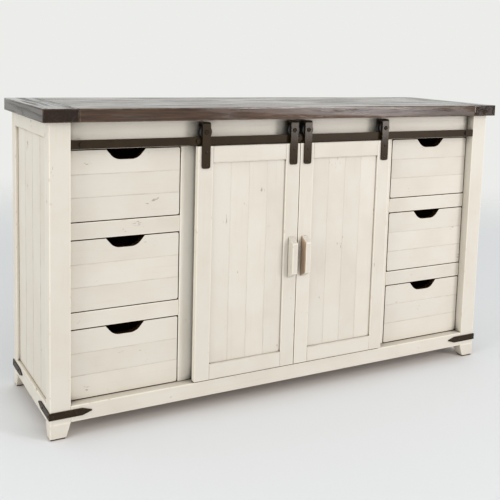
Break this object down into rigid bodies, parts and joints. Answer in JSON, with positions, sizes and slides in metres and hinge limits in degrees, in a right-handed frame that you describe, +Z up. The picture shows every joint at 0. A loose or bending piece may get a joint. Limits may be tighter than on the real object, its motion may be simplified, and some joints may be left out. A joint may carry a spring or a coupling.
{
  "type": "sideboard buffet",
  "caption": "Painted farmhouse sideboard: drawers at both sides of sliding barn-style doors on a flat steel track, under a dark stained top.",
  "frame": {"origin": "on the floor, under the middle of the object's bounding box", "axes": "+X along the length to the right as seen from the front, +Y from the front to the back, +Z up"},
  "size_m": [1.524, 0.4696, 0.881],
  "materials": {
    "antique_white_paint": "brushed off-white paint with a thin brown glaze, worn at the edges",
    "stained_top": "dark brown stain under a satin lacquer",
    "stained_top_end": "darker stain on the breadboard ends, satin lacquer",
    "bare_wood": "clear matt lacquer on pale solid wood and ply",
    "bronzed_steel": "dark bronze powder coat on flat steel strap",
    "black_nylon": "moulded black nylon"
  },
  "bodies": {
    "cabinet": {"back_panel": "bare_wood", "center_shelf": "bare_wood", "corner_bracket_back_left": "bronzed_steel", "corner_bracket_back_right": "bronzed_steel", "corner_bracket_front_left": "bronzed_steel", "corner_bracket_front_right": "bronzed_steel", "divider_stile_left": "antique_white_paint", "divider_stile_right": "antique_white_paint", "door_guide": "bronzed_steel", "drawer_divider_left_lower": "antique_white_paint", "drawer_divider_left_upper": "antique_white_paint", "drawer_divider_right_lower": "antique_white_paint", "drawer_divider_right_upper": "antique_white_paint", "floor_panel": "bare_wood", "front_bottom_rail": "antique_white_paint", "front_top_rail": "antique_white_paint", "partition_left": "bare_wood", "partition_right": "bare_wood", "post_back_left": "antique_white_paint", "post_back_right": "antique_white_paint", "post_front_left": "antique_white_paint", "post_front_right": "antique_white_paint", "side_bottom_rail_left": "antique_white_paint", "side_bottom_rail_right": "antique_white_paint", "side_lining_left": "bare_wood", "side_lining_right": "bare_wood", "side_panel_left": "antique_white_paint", "side_panel_right": "antique_white_paint", "side_top_rail_left": "antique_white_paint", "side_top_rail_right": "antique_white_paint", "top_end_left": "stained_top_end", "top_end_right": "stained_top_end", "top_panel": "stained_top", "track_bar": "bronzed_steel"},
    "left_door": {"door_frame_left": "antique_white_paint", "door_handle_left": "antique_white_paint", "door_panel_left": "antique_white_paint", "hanger_left_inner": "bronzed_steel", "hanger_left_outer": "bronzed_steel"},
    "left_inner_wheel": {"wheel_left_inner": "black_nylon"},
    "left_outer_wheel": {"wheel_left_outer": "black_nylon"},
    "left_top_drawer": {"drawer_box_left_top": "bare_wood", "drawer_front_left_top": "antique_white_paint"},
    "left_middle_drawer": {"drawer_box_left_middle": "bare_wood", "drawer_front_left_middle": "antique_white_paint"},
    "left_bottom_drawer": {"drawer_box_left_bottom": "bare_wood", "drawer_front_left_bottom": "antique_white_paint"},
    "right_door": {"door_frame_right": "antique_white_paint", "door_handle_right": "antique_white_paint", "door_panel_right": "antique_white_paint", "hanger_right_inner": "bronzed_steel", "hanger_right_outer": "bronzed_steel"},
    "right_inner_wheel": {"wheel_right_inner": "black_nylon"},
    "right_outer_wheel": {"wheel_right_outer": "black_nylon"},
    "right_top_drawer": {"drawer_box_right_top": "bare_wood", "drawer_front_right_top": "antique_white_paint"},
    "right_middle_drawer": {"drawer_box_right_middle": "bare_wood", "drawer_front_right_middle": "antique_white_paint"},
    "right_bottom_drawer": {"drawer_box_right_bottom": "bare_wood", "drawer_front_right_bottom": "antique_white_paint"}
  },
  "joints": [
    {"name": "left_door_slide", "type": "slide", "parent": "cabinet", "child": "left_door", "axis": [1, 0, 0], "range_m": [-0.318, 0]},
    {"name": "left_inner_wheel_turn", "type": "hinge", "parent": "left_door", "child": "left_inner_wheel", "pos_m": [-0.02425, -0.19725, 0.8123], "axis": [0, 1, 0], "range_deg": [-1500, 1500]},
    {"name": "left_outer_wheel_turn", "type": "hinge", "parent": "left_door", "child": "left_outer_wheel", "pos_m": [-0.30875, -0.19725, 0.8123], "axis": [0, 1, 0], "range_deg": [-1500, 1500]},
    {"name": "left_top_drawer_slide", "type": "slide", "parent": "cabinet", "child": "left_top_drawer", "axis": [0, -1, 0], "range_m": [0, 0.28]},
    {"name": "left_middle_drawer_slide", "type": "slide", "parent": "cabinet", "child": "left_middle_drawer", "axis": [0, -1, 0], "range_m": [0, 0.28]},
    {"name": "left_bottom_drawer_slide", "type": "slide", "parent": "cabinet", "child": "left_bottom_drawer", "axis": [0, -1, 0], "range_m": [0, 0.28]},
    {"name": "right_door_slide", "type": "slide", "parent": "cabinet", "child": "right_door", "axis": [-1, 0, 0], "range_m": [-0.318, 0]},
    {"name": "right_inner_wheel_turn", "type": "hinge", "parent": "right_door", "child": "right_inner_wheel", "pos_m": [0.02425, -0.19725, 0.8123], "axis": [0, 1, 0], "range_deg": [-1500, 1500]},
    {"name": "right_outer_wheel_turn", "type": "hinge", "parent": "right_door", "child": "right_outer_wheel", "pos_m": [0.30875, -0.19725, 0.8123], "axis": [0, 1, 0], "range_deg": [-1500, 1500]},
    {"name": "right_top_drawer_slide", "type": "slide", "parent": "cabinet", "child": "right_top_drawer", "axis": [0, -1, 0], "range_m": [0, 0.28]},
    {"name": "right_middle_drawer_slide", "type": "slide", "parent": "cabinet", "child": "right_middle_drawer", "axis": [0, -1, 0], "range_m": [0, 0.28]},
    {"name": "right_bottom_drawer_slide", "type": "slide", "parent": "cabinet", "child": "right_bottom_drawer", "axis": [0, -1, 0], "range_m": [0, 0.28]}
  ],
  "couplings": [
    {"joint": "left_inner_wheel_turn", "follows": "left_door_slide", "rad_per_m": 74.074},
    {"joint": "left_outer_wheel_turn", "follows": "left_door_slide", "rad_per_m": 74.074},
    {"joint": "right_inner_wheel_turn", "follows": "right_door_slide", "rad_per_m": -74.074},
    {"joint": "right_outer_wheel_turn", "follows": "right_door_slide", "rad_per_m": -74.074}
  ]
}
